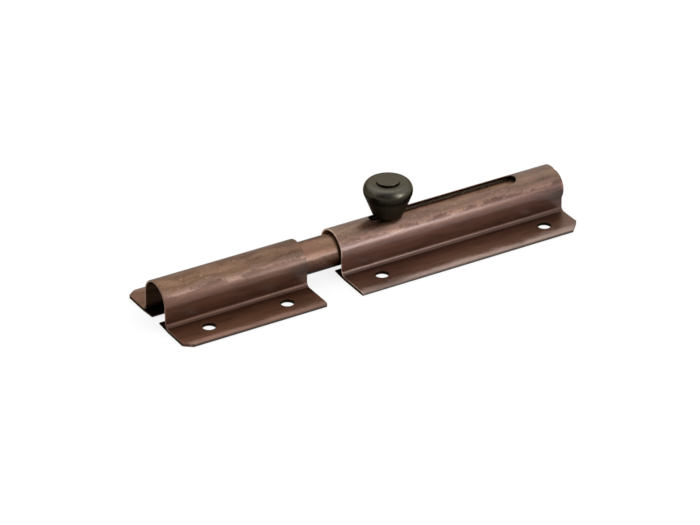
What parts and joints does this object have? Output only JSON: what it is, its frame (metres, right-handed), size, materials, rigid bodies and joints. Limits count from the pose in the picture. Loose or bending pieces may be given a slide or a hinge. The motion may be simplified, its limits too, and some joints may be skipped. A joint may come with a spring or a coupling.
{
  "type": "barrel bolt",
  "caption": "Barrel bolt: a round bolt slides in a folded sheet barrel by a turned knob and shoots into a matching keeper; screw holes in the flanges.",
  "frame": {"origin": "middle of the footprint, on the plane of the flanges' undersides, with the bolt shot as pictured", "axes": "+X along the bolt from the keeper to the barrel, +Y across the flanges, +Z away from the door, up the knob"},
  "size_m": [0.1732, 0.0462, 0.0311],
  "materials": {
    "antique_copper_sheet": "folded steel sheet, copper plated and darkened to antique copper, satin",
    "antique_copper_bar": "drawn steel bar, copper plated and darkened to antique copper, satin",
    "dark_bronze": "turned steel, blackened to a dark bronze, satin"
  },
  "bodies": {
    "brackets": {"barrel_bracket": "antique_copper_sheet", "keeper_bracket": "antique_copper_sheet"},
    "bolt": {"bolt_rod": "antique_copper_bar", "knob": "dark_bronze", "knob_pin": "dark_bronze"}
  },
  "joints": [
    {"name": "bolt_slide", "type": "slide", "parent": "brackets", "child": "bolt", "axis": [1, 0, 0], "range_m": [-0.0049, 0.0529]}
  ]
}
